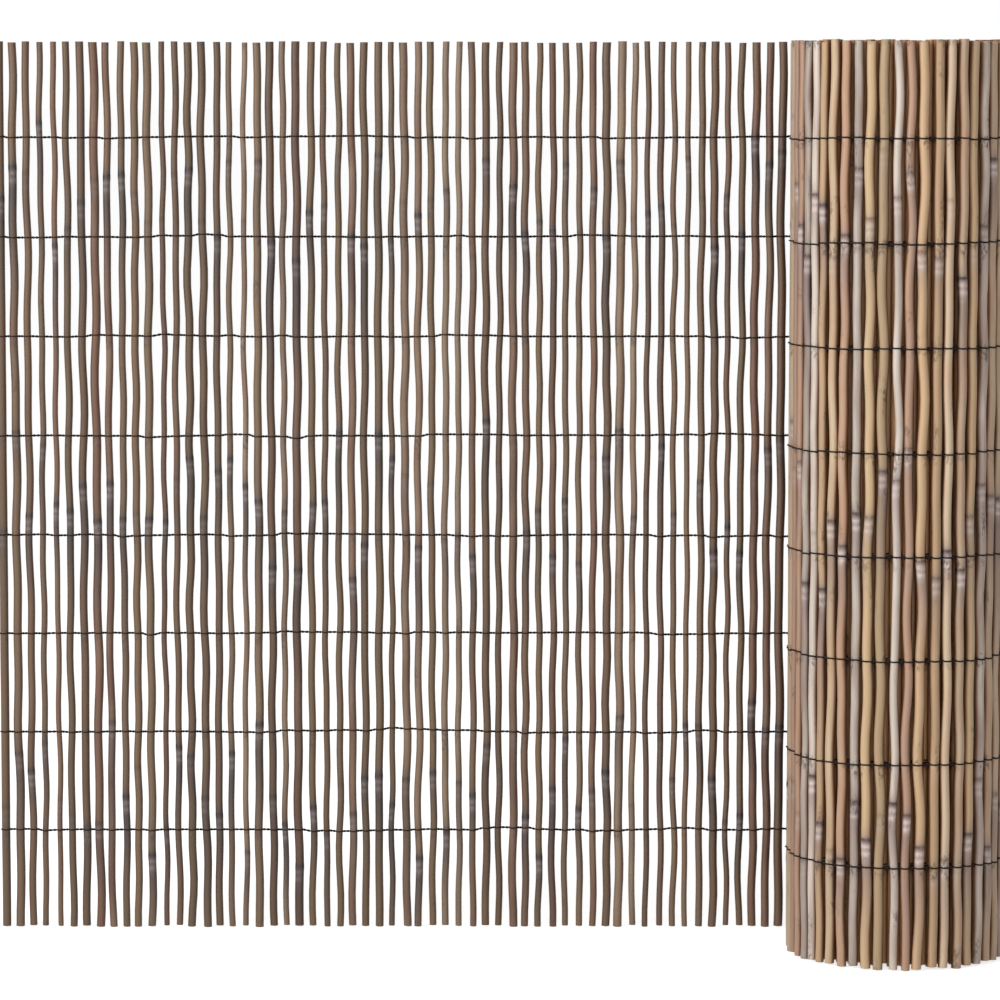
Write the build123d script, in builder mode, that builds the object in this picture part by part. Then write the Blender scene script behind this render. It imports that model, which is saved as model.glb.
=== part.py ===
from build123d import *

import os
from math import cos, degrees, floor, pi, radians, sin, tan
from random import Random

# Reed screen, partly unrolled: round reeds stand side by side and are bound by level wires.
# A flat stretch runs into a roll, which stands on the ground in front of the flat stretch's right end.
# +X runs along the flat stretch towards the roll, +Y to the back and +Z up along the reeds.
# The origin is on the ground, at the middle of the footprint.

# Driving dimensions, in millimetres
reed_length = 895.0
reed_diameter_max = 8.6
reed_diameter_min = 5.0
roll_reed_diameter_max = 9.4
roll_reed_diameter_min = 7.6
reed_gap = 4.9  # clear width between two of the thickest reeds of the flat stretch
reed_wander = 1.1  # how far either end of a reed may stand off its even place
reed_taper = 0.6  # most that a reed's two ends differ in diameter
wire_thickness = 0.9
wire_clearance = 0.1  # between a wire and the reeds that it binds
wire_first_height = 100.0
wire_pitch = 100.0
wire_count = 8
flat_length = 891.0  # from the end reed to where the mat starts to curve
roll_radius = 114.0  # outside of the reeds in the first half turn
roll_half_turns = 11
turn_clearance = 0.3  # between the wires of one turn and those of the next
web_thickness = 1.6  # of the web that joins the reeds of the roll into one solid
reed_flats = 10  # sides of a reed's section, which is round on the real one
core_reed_flats = 6  # the same for the turns inside the outer one
wire_bends = 10  # corners of a wire in each half turn
loop_bends = 4  # corners of a wire round the end reed
growth_seed = 23

# Sizes that follow from them
reed_pitch = reed_diameter_max + reed_gap
wire_reach = wire_clearance + wire_thickness
turn_pitch = roll_reed_diameter_max + 2 * wire_reach + turn_clearance
flat_reed_count = floor(flat_length / reed_pitch)
flat_span = flat_reed_count * reed_pitch
footprint_width = reed_diameter_max / 2 + flat_span + roll_radius + 2 * wire_reach

# The reeds bear on the outer strand of each wire. That line runs along the back of the flat stretch,
# meets the roll at its back and winds inwards as half circles about two alternating centres.
bearing_y = roll_radius
roll_x = footprint_width / 2 - roll_radius - wire_reach
end_reed_x = roll_x - flat_span
end_reed_centre = (end_reed_x, bearing_y - reed_diameter_max / 2)
strand_inset = -(wire_clearance + wire_thickness / 2)
inner_strand_y = bearing_y - reed_diameter_max + strand_inset
outer_strand_y = bearing_y - strand_inset
outer_turn = (0, 1)
BACK, FRONT = 90, 270

growth = Random(growth_seed)


def grown_wander():
    """How far one end of a reed stands off its even place, along the mat."""
    return growth.uniform(-reed_wander, reed_wander)


def reed_section(diameter, facing):
    """The section of a reed, with one of its flats towards the given angle, where it bears on a wire."""
    turn = facing - 180 / reed_flats
    return RegularPolygon(diameter / 2, reed_flats, major_radius=False, rotation=turn)


def half_turn(number):
    """Centre, bearing radius and start angle of a half turn, counted from the flat stretch inwards."""
    odd = number % 2
    centre = (roll_x, -odd * turn_pitch / 2)
    radius = roll_radius - number * turn_pitch / 2
    return centre, radius, FRONT if odd else BACK


def reeds_on_roll():
    """Half turn, angle and diameter of each reed of the roll, at even steps along the bearing line."""
    distance = reed_pitch / 2
    for number in range(roll_half_turns):
        radius, start = half_turn(number)[1:]
        while distance < pi * radius:
            diameter = growth.uniform(roll_reed_diameter_min, roll_reed_diameter_max)
            yield number, start - degrees((distance + grown_wander()) / radius), diameter
            distance += reed_pitch
        distance -= pi * radius


def rolled_side(number, angle, diameter, side):
    """Corners of a rolled reed's outer side (1) or inner side (-1), from one web to the next."""
    flats = reed_flats if number in outer_turn else core_reed_flats
    half_flat = radians(180 / flats)
    corner_radius = diameter / 2 / cos(half_flat)
    web_end = corner_radius - web_thickness / 2 * tan(half_flat)
    turns = [2 * half_flat * (corner + 1) - pi / 2 for corner in range(flats // 2 - 1)]
    corners = [(corner_radius * sin(turn), corner_radius * cos(turn)) for turn in turns]
    corners = [(-web_end, web_thickness / 2), *corners, (web_end, web_thickness / 2)]
    centre, radius, start = half_turn(number)
    outward = Vector(cos(radians(angle)), sin(radians(angle)))
    along = Vector(outward.Y, -outward.X)
    middle = Vector(*centre) + outward * (radius - diameter / 2)
    return [middle + along * across + outward * (side * depth) for across, depth in corners]


def bent_round(centre, radius, start, bends):
    """Corners of a wire that touches the given half circle from outside, clockwise from the start angle."""
    corner_radius = radius / cos(radians(90 / bends))
    angles = [radians(start - 180 * (bend + 0.5) / bends) for bend in range(bends)]
    return [(centre[0] + corner_radius * cos(a), centre[1] + corner_radius * sin(a)) for a in angles]


def wire_side(outset):
    """One side of a wire, the given distance outside its centreline, from the roll's back to its own end."""
    points = [(roll_x, inner_strand_y - outset)]
    points += bent_round(end_reed_centre, (outer_strand_y - inner_strand_y) / 2 + outset, FRONT, loop_bends)
    for number in outer_turn:
        centre, radius, start = half_turn(number)
        points += bent_round(centre, radius - strand_inset + outset, start, wire_bends)
    return points + [(roll_x, centre[1] + radius - strand_inset + outset)]


# End reed: the thickest, so that every wire can be doubled round it
with BuildPart() as end_reed:
    with BuildSketch():
        with Locations(end_reed_centre):
            RegularPolygon(reed_diameter_max / 2, reed_flats)
    extrude(amount=reed_length)

# Flat stretch: one reed at each pitch up to the roll, all bearing on the outer strands at the back
with BuildPart() as flat_reeds:
    reeds = []
    for place in range(1, flat_reed_count):
        even_x = end_reed_x + place * reed_pitch
        diameter = growth.uniform(reed_diameter_min + reed_taper / 2, reed_diameter_max - reed_taper / 2)
        taper = growth.uniform(-reed_taper, reed_taper)
        for height, end_diameter in ((0, diameter + taper / 2), (reed_length, diameter - taper / 2)):
            with BuildSketch(Plane.XY.offset(height)):
                with Locations((even_x + grown_wander(), bearing_y - end_diameter / 2)):
                    reed_section(end_diameter, BACK)
        reeds.append(loft(mode=Mode.PRIVATE))
    add(reeds)

# Roll: all turns are one row of reeds, joined by a thin web from each reed to the next
with BuildPart() as roll:
    wound_reeds = list(reeds_on_roll())
    outside = [corner for reed in wound_reeds for corner in rolled_side(*reed, 1)]
    inside = [corner for reed in wound_reeds for corner in rolled_side(*reed, -1)]
    with BuildSketch():
        with BuildLine():
            Polyline(*outside, *reversed(inside), close=True)
        make_face()
    extrude(amount=reed_length)

parts = {"end_reed": end_reed, "flat_reeds": flat_reeds, "roll": roll}

# Wires: the inner strand runs along the front of the flat stretch, turns round the end reed and comes
# back as the outer strand, which goes on round the outer turn of the roll
for row in range(wire_count):
    with BuildPart() as wire:
        with BuildSketch(Plane.XY.offset(wire_first_height + row * wire_pitch)):
            with BuildLine():
                Polyline(*wire_side(-wire_thickness / 2), *reversed(wire_side(wire_thickness / 2)), close=True)
            make_face()
        extrude(amount=wire_thickness / 2, both=True)
    parts[f"wire_{row + 1}"] = wire

os.makedirs("parts", exist_ok=True)
for name, piece in parts.items():
    piece.part.label = name
    export_step(piece.part, f"parts/{name}.step")
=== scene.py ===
from math import pi
from random import Random
from typing import NamedTuple

import bmesh
import bpy
import numpy as np
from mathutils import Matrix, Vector


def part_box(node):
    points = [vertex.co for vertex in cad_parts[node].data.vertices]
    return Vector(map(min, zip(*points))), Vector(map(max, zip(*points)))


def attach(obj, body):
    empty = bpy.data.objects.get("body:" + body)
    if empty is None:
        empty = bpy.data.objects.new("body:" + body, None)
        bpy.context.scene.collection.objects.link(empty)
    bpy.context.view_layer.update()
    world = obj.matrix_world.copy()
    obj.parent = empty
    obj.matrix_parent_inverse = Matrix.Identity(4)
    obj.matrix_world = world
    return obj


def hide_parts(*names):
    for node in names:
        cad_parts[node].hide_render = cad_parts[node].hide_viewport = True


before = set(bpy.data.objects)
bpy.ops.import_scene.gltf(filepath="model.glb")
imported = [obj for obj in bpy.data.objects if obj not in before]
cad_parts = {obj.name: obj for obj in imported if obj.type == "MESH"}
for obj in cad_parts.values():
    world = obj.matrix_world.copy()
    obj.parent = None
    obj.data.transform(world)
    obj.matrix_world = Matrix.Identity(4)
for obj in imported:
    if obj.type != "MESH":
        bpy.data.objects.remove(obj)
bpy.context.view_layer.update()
bpy.context.scene.view_settings.view_transform = "Standard"

# Sizes of the mat, in metres, that the frame's boxes don't give
REED_PITCH = 0.0135
TURN_PITCH = 0.0117
HALF_TURNS = 11
OUTER_HALF_TURNS = 2
OUTER_REED_FLATS = 10
CORE_REED_FLATS = 6
WIRE_CLEARANCE = 0.0001
BACK, FRONT = 0.5 * pi, 1.5 * pi  # angles round the roll, where its half turns start

# How the rolled reeds are found among the corners of the CAD roll
CORNER_DEPTH = 0.0004  # the outermost corners of the rolled reeds lie within this of their half circle
TURN_OVERLAP = 0.06  # how far past a half turn its reeds are looked for, in radians
FLAT_BREAK = 0.00565  # wider than a rolled reed's outer flat and narrower than the gap to the next one's

# How the reeds grew, and how unevenly they were cut
GROWTH_SEED = 7
FULLNESS = 1.06  # the round reeds against the flats that stand for them
FLAT_UNEVENNESS = 0.0018  # most that an end is cut short
ROLL_UNEVENNESS = 0.0032
OUTER_GAP_SHADE = 0.5  # how much of the painted shade of the gaps inside the roll the outer turn takes, against the turns inside it
PALEST_REED_X = 0.375
PALEST_REED_TONE = 0.7

# How the reeds bend
FLAT_BEND_ROOM = 0.0017  # about the most that a reed bends to either side
ROLL_BEND_ROOM = 0.0028
END_REED_ROOM = 0.0002
GAP_SHARE = 0.8  # how much of the gap beside it a reed may bend into
LEAST_GAP = 0.00015
GAP_STEPS = 120  # heights at which the gap between two bent reeds is measured
ROOM_STEP = 0.85  # what each try leaves of the room of a reed that touches the one before it
BENDS = ((0.35, 0.7, 0.28), (0.14, 0.22, 0.42), (0.08, 0.12, 0.44))  # least and most length, share of room
WEAKEST_BEND = 0.5  # against the strongest
SWAY = 0.0002  # half of the most that a reed bends towards the inside of the mat
SWAY_LENGTHS = (0.2, 0.5)

# The joints of a reed: where they grow
JOINTS_PER_REED = 3
FIRST_JOINT_FOOT = 0.09  # least height of the first joint
FIRST_JOINT_HEAD = 0.1  # how much less than a joint's spacing its greatest height is
JOINT_WANDER = 0.04
JOINT_STRENGTHS = (0.25, 0.6, 0.85, 1.0)

# What shows at a joint: depth below the joint and width
JOINT_SWELLING = 0.07  # share of the reed's thickness
SWELLING_BAND = (0.002, 0.004)
DARK_RING = (0.0004, 0.0019)
PALE_PATCHES = ((0.007, 0.0026), (0.0145, 0.003))
SHADE_REACHES = (0.03, 0.11)  # least and most that the shade reaches below the joint
SHADE_ABOVE = 0.006

# The model reed, before each copy takes its own thickness and bends
MODEL_RADIUS = 0.0034
RIM_INSET = 0.0003
WALL_INSET = 0.0011
HOLLOW_DEPTH = 0.004
FINE_SIDES = 12
PLAIN_SIDES = 8
PLAIN_RINGS = 2
EVEN_RINGS = 54
# Where the rings of a fine reed lie about each of its joints: depth below the joint
JOINT_RINGS = (-0.014, -0.005, -0.0022, 0.0, 0.0022, 0.0045, 0.007, 0.0105, 0.014, 0.018, 0.027, 0.05)
SMOOTH_ANGLE = 0.9
LEVEL_FACE = 0.9  # least upright part of a level face's normal
SAWN_SHARE = 0.86  # faces nearer to the axis than this share of the radius are sawn
HOLLOW_SHARE = 0.75  # and corners nearer than this are the hollow's

# How a reed's faces are laid out for the bake, as shares of the strip that each reed has to itself
RIND_WIDTH = 0.9
RIND_FOOT = 0.04
RIND_HEIGHT = 0.92
FOOT_END = 0.02
TOP_END = 0.98
END_WIDTH = 0.45
END_HEIGHT = 0.03
HOLLOW_NARROWING = 0.15  # how much narrower the floor of a hollow is laid out than its rim

# The wires: how they lie over a reed and twist through the gap to the next, as shares of the way across
OVER_REED = (-0.7, 0.0, 0.7)
OVER_HIDDEN_REED = (0.0,)
LOOSE_TWIST = (1, 1.0, (0.06, 0.23, 0.4, 0.6, 0.77, 0.94))  # turns, spread of the strands, points
TIGHT_TWIST = (2, 1.7, (0.04, 0.14, 0.24, 0.34, 0.44, 0.56, 0.66, 0.76, 0.86, 0.96))
HIDDEN_TWIST = (1, 1.0, (0.5,))
LOOP_STEPS = 6  # of a wire's half turn round the end reed
WIRE_BITE = 0.0002  # how far a wire is pressed into the reeds
FLAT_WIRE_RADIUS = 0.00066
ROLL_WIRE_RADIUS = 0.0008
WIRE_JOG = 0.0019  # most that a wire steps up or down from one reed to the next
JOG_SHARES = (0.2, 0.2, 0.2, 1.0)
JOG_HOLD = 0.75  # how much of its height off the level a wire keeps at the next reed

# The finishes: grains to the metre along X, Y and Z
STREAKS = (800.0, 800.0, 9.0)
BLOTCHES = (90.0, 90.0, 16.0)
SPECKS = (420.0, 420.0, 240.0)
SMUDGES = (75.0, 75.0, 24.0)
FIBRES = (1500.0, 1500.0, 300.0)
RUST = (260.0, 260.0, 260.0)
GRAIN_DEPTH = 0.0004
# Between which values of a grain each mark sets in
SHADE_BLOTCHES = (0.1, 0.5)
PATCH_SPECKS = (0.1, 0.55)
RING_SPECKS = (0.25, 0.5)
SMUDGE_EDGE = (0.6, 0.76)
SMUDGE_SPECKS = (0.4, 0.62)
WALL_FIBRES = (0.3, 0.7)
RUST_EDGE = (0.42, 0.68)
# Where the rind's colours meet round a reed, from 0 at its inner side to 1 at its outer side; the brown and
# the russet are painted shade
BROWN_TO_RUSSET = (0.26, 0.48)
RUSSET_TO_STRAW = (0.48, 0.88)
# How light the rind is: the darkest reed, and how much tone, streaks and blotches change it
DARKEST_LIGHT = 0.68
TONE_LIGHT = 0.42
STREAK_LIGHT = 0.34
BLOTCH_LIGHT = 0.3
# How strongly the rind is marked
BLOTCH_RIPENESS = 0.35
SHADE_STRENGTH = 0.95
SMUDGE_STRENGTH = 0.7
WIRE_SMUDGING = 0.16  # how much more readily it smudges about the wires
SMUDGE_DROP = 0.004  # how far below a wire the smudges are thickest
SMUDGE_REACH = 0.014

# The stage
FLOOR_SIZE = 400.0
FLOOR_DROP = 0.0005
FLOOR_COLOUR = (0.9, 0.9, 0.9, 1.0)
FLOOR_WHITE = 0.74  # what lifts the lit floor to white, for the camera alone
WORLD_COLOUR = (1.0, 1.0, 1.0, 1.0)
WORLD_LIGHT = 0.26
# Place, point that it faces, size and power of each lamp
KEY_LAMP = ((-3.1, -2.6, 2.1), (0.1, 0, 0.45), 1.5, 122.0)
FRONT_LAMP = ((0.3, -4.3, 1.5), (0.2, 0, 0.45), 1.2, 32.0)

# The photograph's frame: what it spans in the plane of the flat stretch, and where it was taken from
PHOTO_SPAN = 1.006
PHOTO_CENTRE_HEIGHT = 0.4352
CAMERA_DISTANCE = 4.3
CAMERA_HEIGHT = 0.846
CAMERA_SHIFT = -0.05
SENSOR_WIDTH = 36.0

# Sizes and places that the frame gives
end_low, end_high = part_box("end_reed")
wire_low, wire_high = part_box("wire_1")
wire_names = [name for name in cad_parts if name.startswith("wire_")]
wire_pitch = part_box("wire_2")[0].z - wire_low.z
first_wire_height = (wire_low.z + wire_high.z) / 2
reed_length = end_high.z - end_low.z
wire_reach = wire_high.z - wire_low.z + WIRE_CLEARANCE
roll_radius = wire_high.y - wire_reach
roll_x = -wire_low.x - wire_reach - roll_radius
end_reed_x = (end_low.x + end_high.x) / 2

growth = Random(GROWTH_SEED)

# Reeds


def bell(depths, middle, width):
    """1 at the middle depth, and falling off smoothly over the given width to either side."""
    return np.exp(-((depths - middle) / width) ** 2)


class Joint(NamedTuple):
    """A joint of a reed: its height, how strongly it is marked and how far its shade reaches."""

    height: float
    strength: float
    reach: float


def grown_joint(even_height):
    """A joint that grew near the given height."""
    height = even_height + growth.uniform(-JOINT_WANDER, JOINT_WANDER)
    return Joint(height, growth.choice(JOINT_STRENGTHS), growth.uniform(*SHADE_REACHES))


class Reed:
    """One standing reed: its ends, which way the outside of the mat lies, its bends and its joints."""

    def __init__(self, foot, top, foot_radius, top_radius, outward, room, unevenness):
        self.foot = np.array(foot)
        self.top = np.array(top)
        self.radii = (foot_radius, top_radius)
        self.outward = np.array(outward)
        self.along = np.array((outward[1], -outward[0]))
        self.room = room
        self.shelter = 0.0
        self.tone = growth.random()
        self.ripeness = growth.random()
        self.cut = (growth.uniform(0, unevenness), growth.uniform(0, unevenness))
        self.sway = (growth.uniform(*SWAY_LENGTHS), growth.uniform(0, 2 * pi))
        self.bends = [
            (growth.uniform(low, high), growth.uniform(0, 2 * pi), growth.uniform(WEAKEST_BEND, 1) * share)
            for low, high, share in BENDS
        ]
        spacing = reed_length / JOINTS_PER_REED
        first = growth.uniform(FIRST_JOINT_FOOT, spacing - FIRST_JOINT_HEAD)
        self.joints = [grown_joint(first + number * spacing) for number in range(JOINTS_PER_REED)]

    def radius(self, heights):
        """Half the thickness at the given heights, with the swelling at each joint."""
        plain = self.radii[0] + (self.radii[1] - self.radii[0]) * heights / reed_length
        swelling = 0 * heights
        for joint in self.joints:
            swelling += joint.strength * JOINT_SWELLING * bell(joint.height - heights, *SWELLING_BAND)
        return plain * (1 + swelling)

    def centre(self, heights):
        """Places of the centreline, one row for each height."""
        share = np.asarray(heights)[:, None] / reed_length
        line = self.foot + (self.top - self.foot) * share
        bend = sum(size * np.sin(2 * pi * heights / length + start) for length, start, size in self.bends)
        length, start = self.sway
        sway = SWAY * (np.sin(2 * pi * heights / length + start) - 1)
        return line + self.room * bend[:, None] * self.along + sway[:, None] * self.outward

    def gap_to(self, other, heights):
        """The least gap to another reed at the given heights."""
        apart = np.hypot(*(self.centre(heights) - other.centre(heights)).T)
        return np.min(apart - self.radius(heights) - other.radius(heights))

    def rings(self, fine):
        """Heights of its rings: evenly spread, and on a fine reed also close together at its joints."""
        ends = (self.cut[0], reed_length - self.cut[1])
        if not fine:
            return np.linspace(*ends, PLAIN_RINGS + 2)
        close = [joint.height - depth for joint in self.joints for depth in JOINT_RINGS]
        return np.sort(np.concatenate((np.linspace(*ends, EVEN_RINGS + 2), close)))

    def marks(self, heights):
        """How strongly a joint's dark ring, pale patches and long shade show at the given heights."""
        ring, patch, shade = 0 * heights, 0 * heights, 0 * heights
        for joint in self.joints:
            below = joint.height - heights
            ring += joint.strength * bell(below, *DARK_RING)
            for band in PALE_PATCHES:
                patch += joint.strength * bell(below, *band)
            fading = np.where(below > 0, bell(below, 0, joint.reach), np.exp(below / SHADE_ABOVE))
            shade += joint.strength * fading
        return ring, patch, np.minimum(shade, 1)


def end_corners(node):
    """The corners of a CAD node's sections at its foot and at its top, seen from above."""
    corners = np.array([corner.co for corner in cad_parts[node].data.vertices])
    low = corners[:, 2] < reed_length / 2
    return [np.unique(np.round(corners[end, :2], 6), axis=0) for end in (low, ~low)]


def flat_reeds_from_frame():
    """The reeds of the flat stretch, from the end reed to the roll, where the CAD model has them."""
    reeds = []
    for node in ("end_reed", "flat_reeds"):
        ends = end_corners(node)
        places = [np.round((corners[:, 0] - end_reed_x) / REED_PITCH) for corners in ends]
        for place in np.unique(places[0]):
            boxes = []
            for corners, spots in zip(ends, places):
                own = corners[spots == place]
                boxes.append((own.min(0), own.max(0)))
            middles = [(low + high) / 2 for low, high in boxes]
            radii = [FULLNESS * (high - low)[1] / 2 for low, high in boxes]
            reeds.append(Reed(*middles, *radii, (0, 1), FLAT_BEND_ROOM, FLAT_UNEVENNESS))
    return reeds


def half_turn(number):
    """Centre, bearing radius and start angle of a half turn of the roll, as the CAD model winds it."""
    odd = number % 2
    centre = np.array((roll_x, -odd * TURN_PITCH / 2))
    return centre, roll_radius - number * TURN_PITCH / 2, FRONT if odd else BACK


def roll_reed(centre, bearing, angle, radius):
    """A reed that bears on a half turn of the roll at the given angle."""
    outward = np.array((np.cos(angle), np.sin(angle)))
    place = centre + (bearing - radius) * outward
    return Reed(place, place, radius, radius, outward, ROLL_BEND_ROOM, ROLL_UNEVENNESS)


def roll_reeds_from_frame(numbers, flats):
    """The reeds of the given half turns, in the order they are wound, where the CAD model has them."""
    reeds = []
    corners = end_corners("roll")[0]
    for number in numbers:
        centre, bearing, start = half_turn(number)
        arms = corners - centre
        on_line = arms[np.abs(np.hypot(*arms.T) - bearing) < CORNER_DEPTH]
        turned = (start - np.arctan2(on_line[:, 1], on_line[:, 0]) + TURN_OVERLAP) % (2 * pi) - TURN_OVERLAP
        turned = np.sort(turned[turned < pi + TURN_OVERLAP])
        for outer_flat in np.split(turned, np.flatnonzero(np.diff(turned) > FLAT_BREAK / bearing) + 1):
            middle = (outer_flat[0] + outer_flat[-1]) / 2
            half_flat = (outer_flat[-1] - outer_flat[0]) / 2 * bearing
            if 0 <= middle < pi:
                radius = FULLNESS * half_flat / np.tan(pi / flats)
                reeds.append(roll_reed(centre, bearing, start - middle, radius))
    return reeds


def give_room(reeds):
    """Limits each reed's bends to its share of the gaps beside it, and so that it clears the one before."""
    for reed, following in zip(reeds, reeds[1:]):
        for end, other, number in ((reed.foot, following.foot, 0), (reed.top, following.top, 1)):
            gap = np.hypot(*(other - end)) - reed.radii[number] - following.radii[number]
            reed.room = min(reed.room, GAP_SHARE * gap)
            following.room = min(following.room, GAP_SHARE * gap)
    heights = np.linspace(0, reed_length, GAP_STEPS)
    for reed, following in zip(reeds, reeds[1:]):
        while following.room > LEAST_GAP and following.gap_to(reed, heights) < LEAST_GAP:
            following.room *= ROOM_STEP


# Finishes


class Value:
    """One output of a finish's nodes. Sums, differences and products of values add Math nodes."""

    def __init__(self, finish, socket):
        self.finish = finish
        self.socket = socket

    def __add__(self, other):
        return self.finish.math("ADD", self, other)

    def __radd__(self, other):
        return self.finish.math("ADD", other, self)

    def __sub__(self, other):
        return self.finish.math("SUBTRACT", self, other)

    def __rsub__(self, other):
        return self.finish.math("SUBTRACT", other, self)

    def __mul__(self, other):
        return self.finish.math("MULTIPLY", self, other)

    def __rmul__(self, other):
        return self.finish.math("MULTIPLY", other, self)


class Finish:
    """The nodes of a material or a world, added one by one."""

    def __init__(self, owner):
        self.owner = owner
        owner.use_nodes = True
        self.tree = owner.node_tree
        self.tree.nodes.clear()

    def node(self, kind, settings, sockets, output=0):
        """Adds a node, sets it, fills or links its sockets, and gives one of its outputs."""
        made = self.tree.nodes.new(kind)
        for name, setting in settings.items():
            if name == "stops":
                self.set_stops(made.color_ramp, setting)
            else:
                setattr(made, name, setting)
        for name, content in sockets.items():
            if isinstance(content, Value):
                self.tree.links.new(content.socket, made.inputs[name])
            else:
                made.inputs[name].default_value = content
        return Value(self, made.outputs[output]) if made.outputs else None

    def set_stops(self, ramp, stops):
        while len(ramp.elements) < len(stops):
            ramp.elements.new(1.0)
        for element, (position, colour) in zip(ramp.elements, stops):
            element.position = position
            element.color = colour

    def math(self, operation, first, second):
        return self.node("ShaderNodeMath", {"operation": operation}, {0: first, 1: second})

    def attribute(self, name):
        return self.node("ShaderNodeAttribute", {"attribute_name": name}, {}, "Fac")

    def place(self):
        return self.node("ShaderNodeTexCoord", {}, {}, "Object")

    def height(self):
        return self.node("ShaderNodeSeparateXYZ", {}, {0: self.place()}, "Z")

    def noise(self, grains, detail=2.0):
        """Noise on Object coordinates, with so many grains to the metre along X, Y and Z."""
        place = self.node("ShaderNodeVectorMath", {"operation": "MULTIPLY"}, {0: self.place(), 1: grains})
        sockets = {"Vector": place, "Scale": 1.0, "Detail": detail}
        return self.node("ShaderNodeTexNoise", {}, sockets, "Fac")

    def between(self, value, low, high):
        """0 below low, 1 above high and smooth between them."""
        sockets = {"Value": value, "From Min": low, "From Max": high}
        return self.node("ShaderNodeMapRange", {"interpolation_type": "SMOOTHSTEP"}, sockets)

    def mix(self, share, first, second):
        """A colour between two others."""
        settings = {"data_type": "RGBA", "clamp_factor": True}
        return self.node("ShaderNodeMix", settings, {0: share, 6: first, 7: second}, 2)

    def dim(self, colour, share):
        return self.node("ShaderNodeVectorMath", {"operation": "SCALE"}, {0: colour, "Scale": share})

    def ramp(self, value, colours):
        """A colour that runs evenly through the given ones as a value goes from 0 to 1."""
        stops = [(number / (len(colours) - 1), colour) for number, colour in enumerate(colours)]
        return self.node("ShaderNodeValToRGB", {"stops": stops}, {"Fac": value}, "Color")

    def bump(self, height, strength):
        sockets = {"Height": height, "Distance": GRAIN_DEPTH, "Strength": strength}
        return self.node("ShaderNodeBump", {}, sockets)

    def seen(self):
        """1 for what the camera sees, itself or in metal or glass, and 0 for what lights the object."""
        camera, mirror, glass = [
            self.node("ShaderNodeLightPath", {}, {}, ray)
            for ray in ("Is Camera Ray", "Is Glossy Ray", "Is Transmission Ray")
        ]
        return self.math("MINIMUM", camera + mirror + glass, 1.0)

    def surface(self, sockets):
        shader = self.node("ShaderNodeBsdfPrincipled", {}, sockets)
        self.node("ShaderNodeOutputMaterial", {}, {"Surface": shader})
        return self.owner


def tint(red, green, blue):
    """A colour given as it looks on a screen, from 0 to 255."""
    shares = [channel / 255 for channel in (red, green, blue)]
    linear = [share / 12.92 if share <= 0.04045 else ((share + 0.055) / 1.055) ** 2.4 for share in shares]
    return (*linear, 1.0)


def reed_rind():
    """The rind: straw where it faces out of the mat, and painted shade elsewhere: russet at its sides and
    brown inside.
    """
    rind = Finish(bpy.data.materials.new("reed_rind"))
    streak = rind.noise(STREAKS, detail=3.0)
    blotch = rind.noise(BLOTCHES)
    speck = rind.noise(SPECKS)

    # The plain rind: each reed is at its own ripeness; its brown inner side and russet sides are painted
    # shade, and the roll's reeds get redder sides, those inside it also a redder, darker straw, as painted
    # shade of the gaps
    straws = (
        tint(210, 180, 139), tint(201, 165, 128), tint(214, 191, 161),
        tint(190, 149, 120), tint(166, 140, 126), tint(214, 200, 187))
    # Painted shade: the brown of the inner side, darker than the straw that faces out
    shaded_browns = (
        tint(114, 91, 65), tint(101, 75, 55), tint(117, 95, 72),
        tint(105, 73, 56), tint(142, 120, 98))
    ripeness = rind.attribute("ripeness") + BLOTCH_RIPENESS * (blotch - 0.5)
    shelter = rind.attribute("shelter")
    face = rind.attribute("outer_face")
    outside = rind.between(face, *RUSSET_TO_STRAW)
    # Painted shade at the sides of each reed, where it faces the gaps beside it; redder on the roll
    side_shade = rind.mix(2 * shelter, tint(106, 79, 56), tint(142, 96, 63))
    inner_face = rind.mix(rind.between(face, *BROWN_TO_RUSSET), rind.ramp(ripeness, shaded_browns), side_shade)
    # Painted shade of the gaps between the turns: the reeds inside the roll are painted a redder, darker
    # straw
    straw = rind.mix(2 * shelter - 1, rind.ramp(ripeness, straws), tint(200, 148, 102))
    colour = rind.mix(outside, inner_face, straw)

    # The long shade, pale patches and dark ring at each joint, darker on the inner side with its painted
    # shade
    shaded = rind.mix(outside, tint(64, 54, 51), tint(148, 124, 118))
    pale = rind.mix(outside, tint(128, 114, 110), tint(228, 211, 203))
    shade = rind.attribute("joint_shade") * rind.between(blotch, *SHADE_BLOTCHES)
    patch = rind.attribute("joint_patch") * rind.between(speck, *PATCH_SPECKS)
    ring = rind.attribute("joint_ring") * rind.between(speck, *RING_SPECKS)
    colour = rind.mix(SHADE_STRENGTH * shade, colour, shaded)
    colour = rind.mix(patch, colour, pale)
    colour = rind.mix(ring, colour, tint(46, 36, 34))

    # Smudges, more of them about the wires
    above_wire = rind.height() - (first_wire_height - SMUDGE_DROP)
    off_wire = rind.math("PINGPONG", above_wire, wire_pitch / 2)
    smudge = rind.noise(SMUDGES) + WIRE_SMUDGING * (1 - rind.between(off_wire, 0.0, SMUDGE_REACH))
    smudge = rind.between(smudge, *SMUDGE_EDGE) * rind.between(speck, *SMUDGE_SPECKS)
    colour = rind.mix(SMUDGE_STRENGTH * smudge, colour, tint(70, 58, 52))

    light = DARKEST_LIGHT + TONE_LIGHT * rind.attribute("tone")
    light = light + STREAK_LIGHT * (streak - 0.5) + BLOTCH_LIGHT * (blotch - 0.5)
    return rind.surface({
        "Base Color": rind.dim(colour, light),
        "Roughness": 0.46 + 0.25 * (speck - 0.5),
        "Normal": rind.bump(streak, strength=0.35)})


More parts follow.
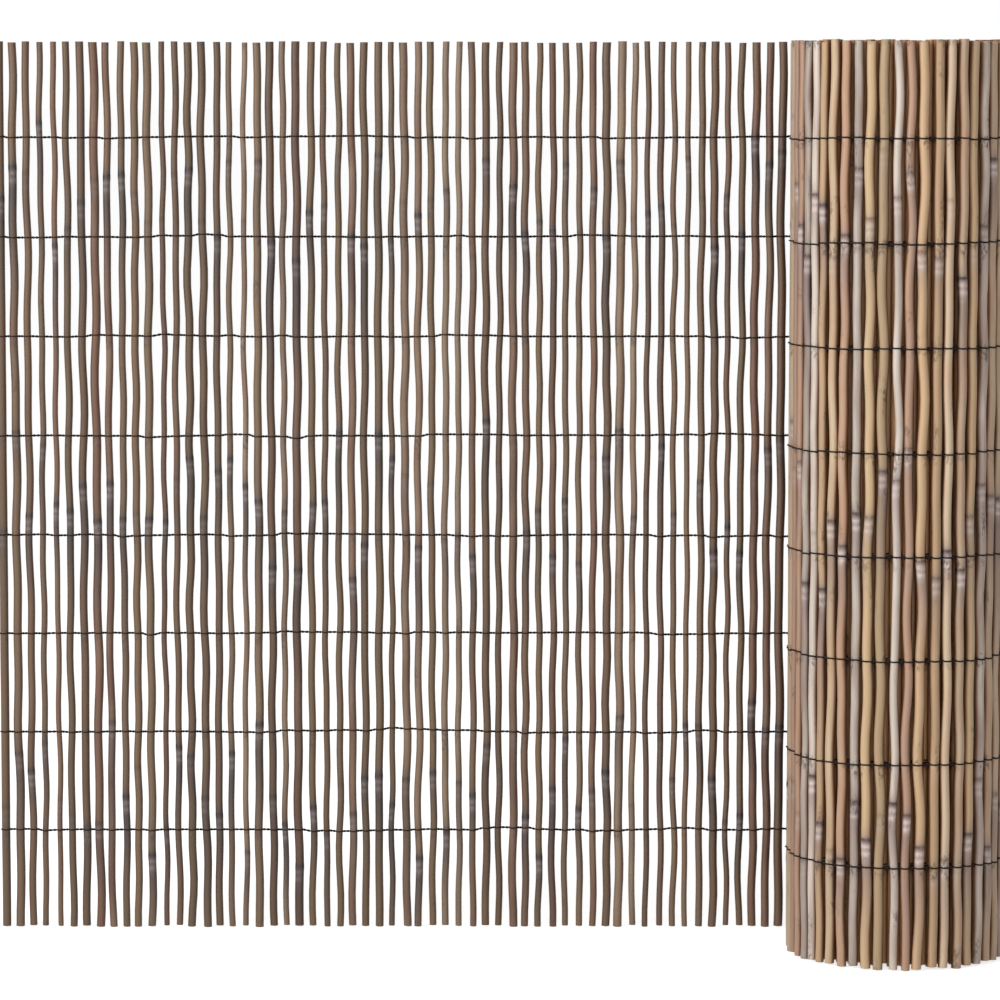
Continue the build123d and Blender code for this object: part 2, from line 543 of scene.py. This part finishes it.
def sawn_end():
    """A sawn end: a pale fibrous wall round a hollow that is painted dark, as painted shade in the recess.
    """
    end = Finish(bpy.data.materials.new("sawn_reed_end"))
    fibre = end.noise(FIBRES)
    wall = end.mix(end.between(fibre, *WALL_FIBRES), tint(170, 138, 100), tint(208, 182, 142))
    # The hollow painted dark brown: painted shade in the recess
    colour = end.mix(end.attribute("hollow"), wall, tint(60, 44, 32))
    return end.surface({"Base Color": colour, "Roughness": 0.85, "Normal": end.bump(fibre, strength=0.4)})


def binding_wire():
    """Annealed iron wire, dark with brown rust."""
    wire = Finish(bpy.data.materials.new("annealed_wire"))
    rust = wire.between(wire.noise(RUST, detail=3.0), *RUST_EDGE)
    return wire.surface({
        "Base Color": wire.mix(rust, tint(30, 24, 21), tint(56, 36, 25)),
        "Specular IOR Level": 0.2,
        "Metallic": 0.15 - 0.15 * rust,
        "Roughness": 0.65 + 0.25 * rust})


RIND, SAWN_END = 0, 1
reed_finishes = (reed_rind(), sawn_end())
wire_finish = binding_wire()

# Modelling


def deselect():
    bpy.ops.object.select_all(action="DESELECT")


def select(piece, kind, wanted):
    """In edit mode, selects just the edges or the faces that pass a test."""
    bpy.ops.mesh.select_mode(type=kind)
    bpy.ops.mesh.select_all(action="DESELECT")
    shape = bmesh.from_edit_mesh(piece.data)
    for element in shape.edges if kind == "EDGE" else shape.faces:
        element.select_set(wanted(element))
    shape.select_flush_mode()
    bmesh.update_edit_mesh(piece.data)


def runs_along(edge):
    """Whether an edge runs along a reed, from its foot to its top."""
    foot, top = edge.verts
    return abs(top.co.z - foot.co.z) > reed_length / 2


def closes(face, end):
    """Whether a face closes a reed at the given height."""
    return abs(face.calc_center_median().z - end) < HOLLOW_DEPTH / 2 and abs(face.normal.z) > LEVEL_FACE


def model_reed(sides, rings):
    """A straight reed on the origin, with the given rings along it and a hollow sawn into both ends."""
    deselect()
    bpy.ops.mesh.primitive_cylinder_add(
        vertices=sides, radius=MODEL_RADIUS, depth=reed_length, location=(0, 0, reed_length / 2))
    reed = bpy.context.object
    bpy.ops.object.transform_apply(location=True, rotation=False, scale=False)
    bpy.ops.object.mode_set(mode="EDIT")
    select(reed, "EDGE", runs_along)
    bpy.ops.mesh.subdivide(number_cuts=rings)
    for end, inwards in ((0.0, 1), (reed_length, -1)):
        select(reed, "FACE", lambda face: closes(face, end))
        bpy.ops.mesh.inset(thickness=RIM_INSET)
        bpy.ops.mesh.inset(thickness=WALL_INSET)
        bpy.ops.mesh.extrude_region_move(TRANSFORM_OT_translate={"value": (0, 0, inwards * HOLLOW_DEPTH)})
    bpy.ops.object.mode_set(mode="OBJECT")
    deselect()
    reed.select_set(True)
    bpy.ops.object.shade_smooth_by_angle(angle=SMOOTH_ANGLE)
    for finish in reed_finishes:
        reed.data.materials.append(finish)
    for face in reed.data.polygons:
        off_axis = Vector((face.center.x, face.center.y)).length
        face.material_index = SAWN_END if off_axis < SAWN_SHARE * MODEL_RADIUS else RIND
    lay_out(reed.data)
    return reed


def lay_out(mesh):
    """Lays a reed's faces out flat for the bake: its rind as one strip, a sawn end above and one below."""
    if mesh.uv_layers:
        mesh.uv_layers.remove(mesh.uv_layers[0])
    layer = mesh.uv_layers.new(name="OFBake")
    for face in mesh.polygons:
        middle = np.arctan2(face.center.y, face.center.x)
        for corner in face.loop_indices:
            place = mesh.vertices[mesh.loops[corner].vertex_index].co
            if face.material_index == RIND:
                turned = (np.arctan2(place.y, place.x) - middle + pi) % (2 * pi) - pi
                across = (middle + turned) / (2 * pi) * RIND_WIDTH
                up = RIND_FOOT + RIND_HEIGHT * place.z / reed_length
            else:
                depth = min(place.z, reed_length - place.z) / HOLLOW_DEPTH
                narrowed = END_WIDTH - HOLLOW_NARROWING * depth
                across = place.x / MODEL_RADIUS * narrowed
                end = TOP_END if place.z > reed_length / 2 else FOOT_END
                up = end + END_HEIGHT * (place.y / MODEL_RADIUS * narrowed)
            layer.data[corner].uv = (0.5 + across, up)


def put_reed(model, reed, number, count, rings):
    """A copy of a model reed, with its own mesh, in the place and shape of one reed of the mat."""
    mesh = model.data.copy()
    corners = np.empty(len(mesh.vertices) * 3)
    mesh.vertices.foreach_get("co", corners)
    corners = corners.reshape(-1, 3)
    across, outward = corners[:, 0] / MODEL_RADIUS, corners[:, 1] / MODEL_RADIUS
    heights = np.interp(corners[:, 2], np.linspace(0, reed_length, len(rings)), rings)
    radius = reed.radius(heights)
    off_line = (radius * across)[:, None] * reed.along + (radius * outward)[:, None] * reed.outward
    mesh.vertices.foreach_set("co", np.column_stack((reed.centre(heights) + off_line, heights)).ravel())
    ring, patch, shade = reed.marks(heights)
    off_axis = np.hypot(across, outward)
    from_end = np.minimum(corners[:, 2], reed_length - corners[:, 2])
    for name, values in (
        ("tone", np.full(len(heights), reed.tone)),
        ("ripeness", np.full(len(heights), reed.ripeness)),
        ("shelter", np.full(len(heights), reed.shelter)),
        ("outer_face", (1 + outward) / 2),
        ("joint_ring", ring),
        ("joint_patch", patch),
        ("joint_shade", shade),
        # Where the hollow lies, which the sawn end paints dark as painted shade
        ("hollow", (off_axis < HOLLOW_SHARE) * (from_end > HOLLOW_DEPTH / 2)),
    ):
        attribute = mesh.attributes.new(name, "FLOAT", "POINT")
        attribute.data.foreach_set("value", np.asarray(values, np.float32))
    spots = np.empty(len(mesh.loops) * 2, np.float32)
    mesh.uv_layers[0].data.foreach_get("uv", spots)
    spots[0::2] = (number + spots[0::2]) / count
    mesh.uv_layers[0].data.foreach_set("uv", spots)
    copy = bpy.data.objects.new("reed", mesh)
    bpy.context.collection.objects.link(copy)
    return copy


def bind_reeds(name, model, reeds, fine, slot, *nodes):
    """Joins a copy of the model for each reed into one piece that stands for the given CAD nodes."""
    copies = [
        put_reed(model, reed, number, len(reeds), reed.rings(fine)) for number, reed in enumerate(reeds)
    ]
    deselect()
    for copy in copies:
        copy.select_set(True)
    bpy.context.view_layer.objects.active = copies[0]
    bpy.ops.object.join()
    piece = bpy.context.object
    piece.name = name
    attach(piece, "root")
    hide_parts(*nodes)


class Crossing:
    """Where a wire crosses a reed, how thick it is there and how its strands twist on to the next reed."""

    def __init__(self, reed, level, wire_radius, over, twist):
        self.reed = reed
        self.level = level
        self.wire_radius = wire_radius
        self.over = over
        self.turns, self.spread, self.gap_shares = twist
        self.centre = reed.centre(np.array([level]))[0]
        self.radius = reed.radius(np.array([level]))[0]

    def over_reed(self, side):
        """Points of the strand that lies on the outer side (1) or the inner side (-1) of the reed."""
        for share in self.over:
            rise = self.radius * (1 - share ** 2) ** 0.5 + self.wire_radius - WIRE_BITE
            place = self.centre + share * self.radius * self.reed.along + side * rise * self.reed.outward
            yield *place, self.level, self.wire_radius

    def through_gap(self, side, following):
        """Points of the same strand in the gap to the following reed, where the two strands twist."""
        start = self.centre + self.radius * self.reed.along
        finish = following.centre - following.radius * following.reed.along
        outward = (self.reed.outward + following.reed.outward) / 2
        for share in self.gap_shares:
            turned = 2 * pi * self.turns * share
            lift = side * self.spread * self.wire_radius * np.cos(turned)
            rise = side * self.spread * self.wire_radius * np.sin(turned)
            level = self.level + share * (following.level - self.level) + rise
            yield *(start + share * (finish - start) + lift * outward), level, self.wire_radius

    def round_reed(self):
        """Points of the wire's loop round the end reed, from its inner side to its outer side."""
        reach = self.radius + self.wire_radius - WIRE_BITE
        for turned in np.linspace(0, pi, LOOP_STEPS + 1)[1:-1]:
            arm = -np.cos(turned) * self.reed.outward - np.sin(turned) * self.reed.along
            yield *(self.centre + reach * arm), self.level, self.wire_radius


def wire_route(height):
    """Points of a wire: along the inner sides of the reeds, round the end reed and along the outer sides."""
    crossings = []
    jog = 0.0
    for reeds, wire_radius, over, twist in (
        (flat_reeds, FLAT_WIRE_RADIUS, OVER_REED, LOOSE_TWIST),
        (outer_reeds, ROLL_WIRE_RADIUS, OVER_REED, TIGHT_TWIST),
        (core_reeds, ROLL_WIRE_RADIUS, OVER_HIDDEN_REED, HIDDEN_TWIST),
    ):
        for reed in reeds:
            crossings.append(Crossing(reed, height + jog, wire_radius, over, twist))
            jog = JOG_HOLD * jog + growth.choice(JOG_SHARES) * growth.uniform(-WIRE_JOG, WIRE_JOG)
    strands = []
    for side in (-1, 1):
        points = []
        for crossing, following in zip(crossings, crossings[1:]):
            points += [*crossing.over_reed(side), *crossing.through_gap(side, following)]
        strands.append(points + [*crossings[-1].over_reed(side)])
    return [*reversed(strands[0]), *crossings[0].round_reed(), *strands[1]]


def draw_wire(name):
    """A wire of the mat, as a tube along its route, that stands for the CAD node of that name."""
    low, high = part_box(name)
    route = np.array(wire_route((low.z + high.z) / 2))
    line = bpy.data.curves.new(name + "_bound", "CURVE")
    line.dimensions = "3D"
    line.bevel_depth = 1.0  # times the radius at each point
    line.bevel_resolution = 1
    line.use_fill_caps = True
    spline = line.splines.new("POLY")
    spline.points.add(len(route) - 1)
    spline.points.foreach_set("co", np.column_stack((route[:, :3], np.ones(len(route)))).ravel())
    spline.points.foreach_set("radius", np.ascontiguousarray(route[:, 3]))
    piece = bpy.data.objects.new(name + "_bound", line)
    bpy.context.collection.objects.link(piece)
    deselect()
    piece.select_set(True)
    bpy.context.view_layer.objects.active = piece
    bpy.ops.object.convert(target="MESH")
    piece = bpy.context.object
    bpy.ops.object.shade_smooth()
    piece.data.materials.clear()
    piece.data.materials.append(wire_finish)
    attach(piece, "root")
    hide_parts(name)


# The mat

flat_reeds = flat_reeds_from_frame()
outer_reeds = roll_reeds_from_frame(range(OUTER_HALF_TURNS), OUTER_REED_FLATS)
core_reeds = roll_reeds_from_frame(range(OUTER_HALF_TURNS, HALF_TURNS), CORE_REED_FLATS)
flat_reeds[0].room = END_REED_ROOM
give_room(flat_reeds + outer_reeds)
# The reeds inside the roll take the painted shade of the gaps in full, the outer turn half of it
for reed in core_reeds:
    reed.room = 0.0
    reed.shelter = 1.0
for reed in outer_reeds:
    reed.shelter = OUTER_GAP_SHADE
front_reeds = [reed for reed in outer_reeds if reed.outward[1] < 0]
palest_reed = min(front_reeds, key=lambda reed: abs(reed.foot[0] - PALEST_REED_X))
palest_reed.ripeness = 1.0
palest_reed.tone = PALEST_REED_TONE

fine_model = model_reed(FINE_SIDES, EVEN_RINGS + JOINTS_PER_REED * len(JOINT_RINGS))
plain_model = model_reed(PLAIN_SIDES, PLAIN_RINGS)
bind_reeds("flat_stretch_reeds", fine_model, flat_reeds, True, "flat_reed", "end_reed", "flat_reeds")
bind_reeds("roll_outer_reeds", fine_model, outer_reeds, True, "roll_reed", "roll")
bind_reeds("roll_inner_reeds", plain_model, core_reeds, False, "roll_reed", "roll")
for name in wire_names:
    draw_wire(name)
for model in (fine_model, plain_model):
    bpy.data.objects.remove(model)

# Stage


def floor_finish():
    """A matt floor that the camera sees as white, apart from the object's shadow."""
    floor = Finish(bpy.data.materials.new("studio_floor"))
    matt = floor.node("ShaderNodeBsdfDiffuse", {}, {"Color": FLOOR_COLOUR})
    white = floor.node("ShaderNodeEmission", {}, {"Strength": FLOOR_WHITE * floor.seen()})
    shader = floor.node("ShaderNodeAddShader", {}, {0: matt, 1: white})
    floor.node("ShaderNodeOutputMaterial", {}, {"Surface": shader})
    return floor.owner


def studio_world():
    """Even soft light from all round, which the camera sees as white."""
    sky = Finish(bpy.data.worlds.new("studio"))
    strength = WORLD_LIGHT + (1 - WORLD_LIGHT) * sky.seen()
    light = sky.node("ShaderNodeBackground", {}, {"Color": WORLD_COLOUR, "Strength": strength})
    sky.node("ShaderNodeOutputWorld", {}, {"Surface": light})
    return sky.owner


def soft_lamp(name, place, target, size, power):
    """A square studio lamp that faces a point."""
    bpy.ops.object.light_add(type="AREA", location=place)
    lamp = bpy.context.object
    lamp.name = name
    lamp.data.size = size
    lamp.data.energy = power
    lamp.rotation_euler = (Vector(target) - Vector(place)).to_track_quat("-Z", "Y").to_euler()


deselect()
bpy.ops.mesh.primitive_plane_add(size=FLOOR_SIZE, location=(0, 0, -FLOOR_DROP))
floor = bpy.context.object
floor.name = "studio_floor"
floor.data.materials.append(floor_finish())
bpy.context.scene.world = studio_world()
soft_lamp("key_lamp", *KEY_LAMP)
soft_lamp("front_lamp", *FRONT_LAMP)

# Camera

flat_plane = (end_low.y + end_high.y) / 2
axis_height = PHOTO_CENTRE_HEIGHT - CAMERA_SHIFT * PHOTO_SPAN
camera_place = Vector((0, flat_plane - CAMERA_DISTANCE, CAMERA_HEIGHT))
aim = Vector((0, flat_plane, axis_height))
bpy.ops.object.camera_add(location=camera_place)
camera = bpy.context.object
camera.rotation_euler = (aim - camera_place).to_track_quat("-Z", "Y").to_euler()
camera.data.sensor_width = SENSOR_WIDTH
camera.data.lens = SENSOR_WIDTH * (aim - camera_place).length / PHOTO_SPAN
camera.data.shift_y = CAMERA_SHIFT
bpy.context.scene.camera = camera
